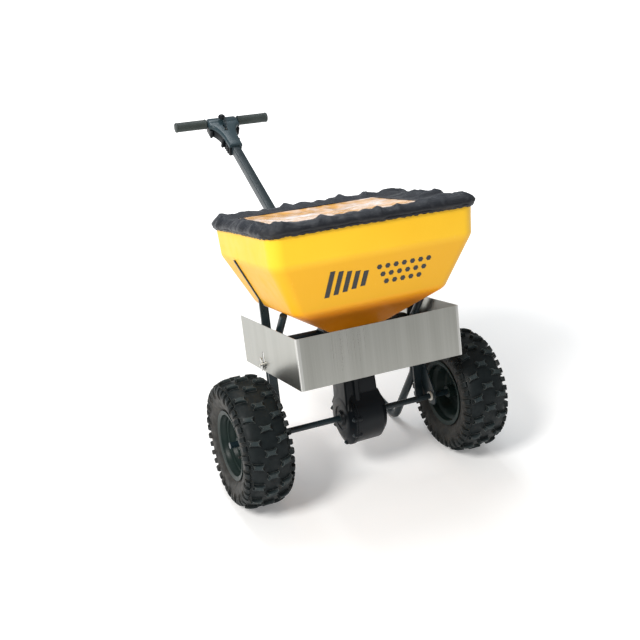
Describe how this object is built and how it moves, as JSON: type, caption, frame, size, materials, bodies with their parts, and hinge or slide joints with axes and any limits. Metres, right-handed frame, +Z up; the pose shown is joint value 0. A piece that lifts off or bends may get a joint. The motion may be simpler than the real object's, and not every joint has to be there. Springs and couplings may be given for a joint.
{
  "type": "broadcast salt spreader",
  "caption": "Walk-behind broadcast salt spreader: covered poly hopper over an axle-driven impeller, steel tube frame with a stand, sheet deflector, knobbly tyres and a T-handle.",
  "frame": {"origin": "on the ground, under the middle of the parked machine's bounding box", "axes": "+Z up, +Y to the handle, +X along the axle to the free-running wheel"},
  "size_m": [0.7302, 1.1859, 0.7532],
  "materials": {
    "yellow_poly": "rotationally moulded polyethylene, satin",
    "black_steel": "satin black powder coat",
    "black_plastic": "moulded black plastic, fine grain",
    "grip_rubber": "matt rubber with fine ribs",
    "tyre_rubber": "matt black tyre rubber with knobbly tread",
    "rim_paint": "dark painted stamped steel",
    "stainless": "brushed stainless sheet",
    "zinc": "zinc-plated hardware",
    "nylon": "natural nylon",
    "cover_fabric": "coated black woven nylon",
    "clear_vinyl": "clear wrinkled vinyl"
  },
  "bodies": {
    "frame": {"axle_bracket_left": "black_steel", "axle_bracket_right": "black_steel", "axle_bushing_left": "nylon", "axle_bushing_right": "nylon", "brace_left": "black_steel", "brace_right": "black_steel", "cross_tube": "black_steel", "deflector_bolt_left": "zinc", "deflector_bolt_right": "zinc", "foot_plug_left": "black_plastic", "foot_plug_right": "black_plastic", "gearbox_body": "black_plastic", "gearbox_cap": "black_plastic", "gearbox_crossbar": "black_steel", "grip_left": "grip_rubber", "grip_right": "grip_rubber", "handle_bar": "black_steel", "handle_bolt_1": "zinc", "handle_bolt_2": "zinc", "handle_gusset_left": "black_steel", "handle_gusset_right": "black_steel", "handle_hub_bottom": "black_plastic", "handle_hub_top": "black_plastic", "handle_tube": "black_steel", "hopper": "yellow_poly", "hopper_base_plate": "black_steel", "leg_left": "black_steel", "leg_right": "black_steel", "lever_pivot_pin": "zinc", "shaft_bushing": "nylon", "stand_tube_left": "black_steel", "stand_tube_right": "black_steel", "wing_nut_left": "zinc", "wing_nut_right": "zinc"},
    "drive_axle": {"axle": "black_steel", "bevel_gear": "zinc", "tyre_left": "tyre_rubber", "rim_left": "rim_paint", "wheel_hub_left": "rim_paint", "drive_pin": "zinc", "axle_washer": "zinc", "cotter_pin": "zinc"},
    "free_wheel": {"tyre_right": "tyre_rubber", "rim_right": "rim_paint", "wheel_hub_right": "rim_paint"},
    "impeller": {"impeller_shaft": "zinc", "bevel_pinion": "zinc", "impeller": "black_plastic", "agitator": "zinc"},
    "gate": {"gate": "stainless"},
    "control_rod": {"control_rod": "zinc"},
    "lever": {"control_lever": "black_steel", "lever_knob": "black_plastic", "lever_link_pin": "zinc"},
    "deflector": {"deflector": "stainless"},
    "cover": {"cover": "cover_fabric", "cover_window": "clear_vinyl"}
  },
  "joints": [
    {"name": "axle_spin", "type": "hinge", "parent": "frame", "child": "drive_axle", "pos_m": [0, -0.4308, 0.165], "axis": [1, 0, 0], "continuous": true},
    {"name": "free_wheel_spin", "type": "hinge", "parent": "drive_axle", "child": "free_wheel", "pos_m": [0.3034, -0.4308, 0.165], "axis": [1, 0, 0], "continuous": true},
    {"name": "impeller_spin", "type": "hinge", "parent": "frame", "child": "impeller", "pos_m": [0, -0.38012, 0.34292], "axis": [0, 0.274, 0.9617], "continuous": true},
    {"name": "lever_rock", "type": "hinge", "parent": "frame", "child": "lever", "pos_m": [0, 0.51909, 0.67842], "axis": [1, 0, 0], "range_deg": [0, 57.54]},
    {"name": "rod_pull", "type": "slide", "parent": "frame", "child": "control_rod", "axis": [0, 0.9385, 0.3453], "range_m": [0, 0.0349]},
    {"name": "gate_slide", "type": "slide", "parent": "frame", "child": "gate", "axis": [0, 0.9617, -0.274], "range_m": [0, 0.0282]},
    {"name": "deflector_height", "type": "slide", "parent": "frame", "child": "deflector", "axis": [0, 0.274, 0.9617], "range_m": [-0.025, 0]},
    {"name": "cover_lift", "type": "slide", "parent": "frame", "child": "cover", "axis": [0, 0.274, 0.9617], "range_m": [0, 0.25]}
  ],
  "couplings": [
    {"joint": "impeller_spin", "follows": "axle_spin", "ratio": 4},
    {"joint": "rod_pull", "follows": "lever_rock", "m_per_rad": 0.034506},
    {"joint": "gate_slide", "follows": "lever_rock", "m_per_rad": 0.027881}
  ]
}
